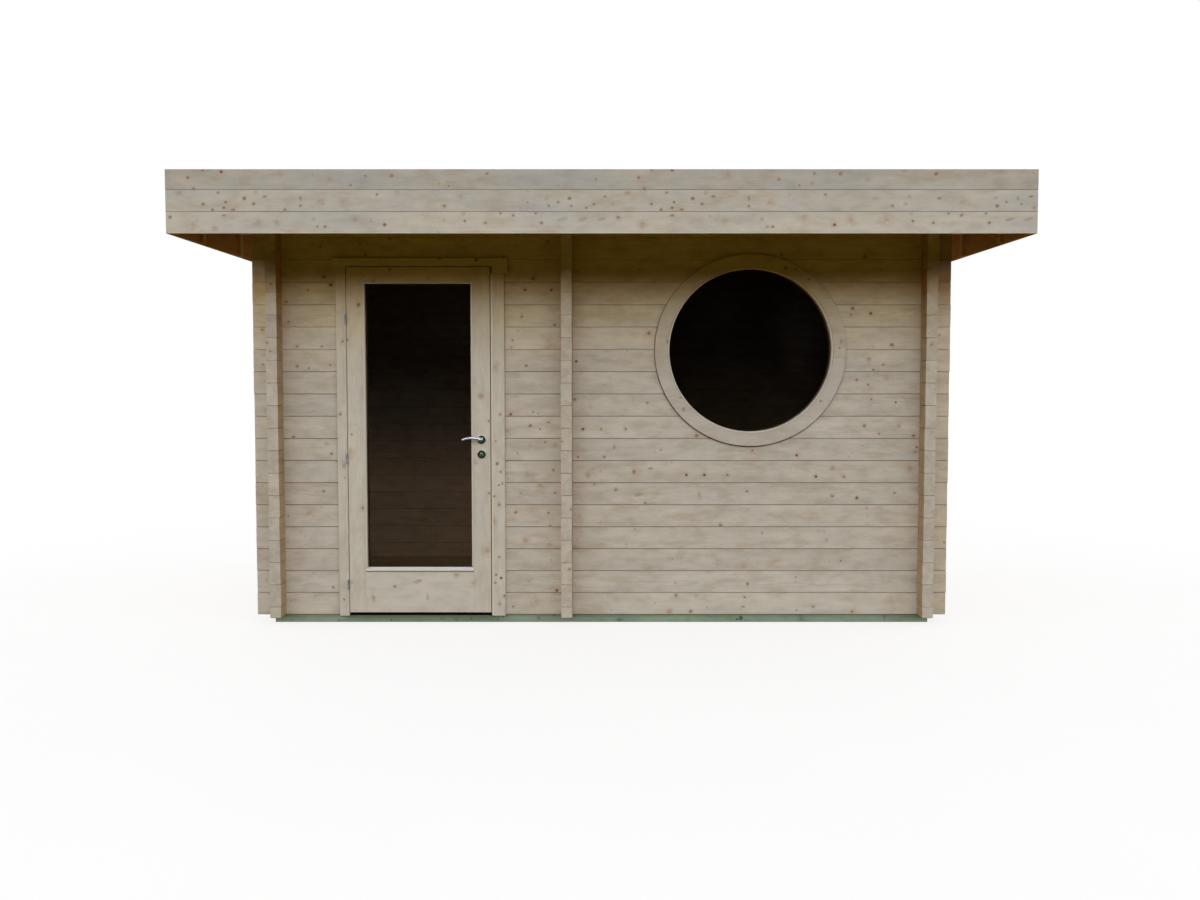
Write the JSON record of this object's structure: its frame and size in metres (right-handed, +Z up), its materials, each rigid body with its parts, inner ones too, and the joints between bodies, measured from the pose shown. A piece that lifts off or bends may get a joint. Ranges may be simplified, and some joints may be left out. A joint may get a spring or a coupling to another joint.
{
  "type": "sauna cabin",
  "caption": "Log sauna cabin with a flat overhanging roof, crossed log corners, a glazed entrance door that opens outward, and a large round fixed window.",
  "frame": {"origin": "at ground level, under the middle of the roof", "axes": "+Z up, the front wall with the door faces -Y, +X to the right when seen from the front"},
  "size_m": [4.672, 3.4, 2.6095],
  "materials": {
    "log_timber": "weathered planed spruce",
    "treated_beam": "green pressure-treated",
    "joist_timber": "sawn",
    "floor_boards": "planed",
    "frame_timber": "planed",
    "casing_timber": "planed",
    "ring_timber": "planed",
    "leaf_timber": "planed",
    "bead_timber": "planed",
    "fascia_boards": "weathered planed",
    "roof_boards": "sawn",
    "roof_membrane": "matt felt",
    "hardware_steel": "satin",
    "polished_steel": "polished",
    "glass": "clear"
  },
  "bodies": {
    "cabin": {"foundation_beams": "treated_beam", "floor_joists": "joist_timber", "left_room_floor": "floor_boards", "right_room_floor": "floor_boards", "front_wall_logs_even": "log_timber", "front_wall_logs_odd": "log_timber", "rear_wall_logs_even": "log_timber", "rear_wall_logs_odd": "log_timber", "left_wall_logs_even": "log_timber", "left_wall_logs_odd": "log_timber", "right_wall_logs_even": "log_timber", "right_wall_logs_odd": "log_timber", "partition_logs_even": "log_timber", "partition_logs_odd": "log_timber", "door_frame_posts": "frame_timber", "door_frame_head": "frame_timber", "door_threshold": "frame_timber", "door_side_casings": "casing_timber", "door_head_casing": "casing_timber", "door_inner_casings": "casing_timber", "strike_plate": "hardware_steel", "door_hinges_frame": "hardware_steel", "round_window_liner": "frame_timber", "round_window_outer_ring": "ring_timber", "round_window_inner_ring": "ring_timber", "round_window_bead": "frame_timber", "round_window_glass": "glass", "rafters": "joist_timber", "side_outriggers": "joist_timber", "eaves_blocking": "joist_timber", "roof_deck": "roof_boards", "roof_membrane": "roof_membrane", "front_fascia": "fascia_boards", "rear_fascia": "fascia_boards", "left_fascia": "fascia_boards", "right_fascia": "fascia_boards", "fascia_battens": "joist_timber"},
    "entrance_door": {"door_stiles": "leaf_timber", "door_rails": "leaf_timber", "door_glass": "glass", "door_glass_beads": "bead_timber", "door_hinges_leaf": "hardware_steel", "door_rosettes": "polished_steel", "lock_cylinders": "hardware_steel"},
    "door_handle": {"door_levers": "polished_steel"}
  },
  "joints": [
    {"name": "door_hinge", "type": "hinge", "parent": "cabin", "child": "entrance_door", "pos_m": [-1.542, -0.931, 1], "axis": [0, 0, -1], "range_deg": [0, 140]},
    {"name": "handle_turn", "type": "hinge", "parent": "entrance_door", "child": "door_handle", "pos_m": [-0.727, -0.922, 1.122], "axis": [0, -1, 0], "range_deg": [0, 40], "stiffness_Nm_per_rad": 1.5, "springref_deg": -45.84}
  ]
}
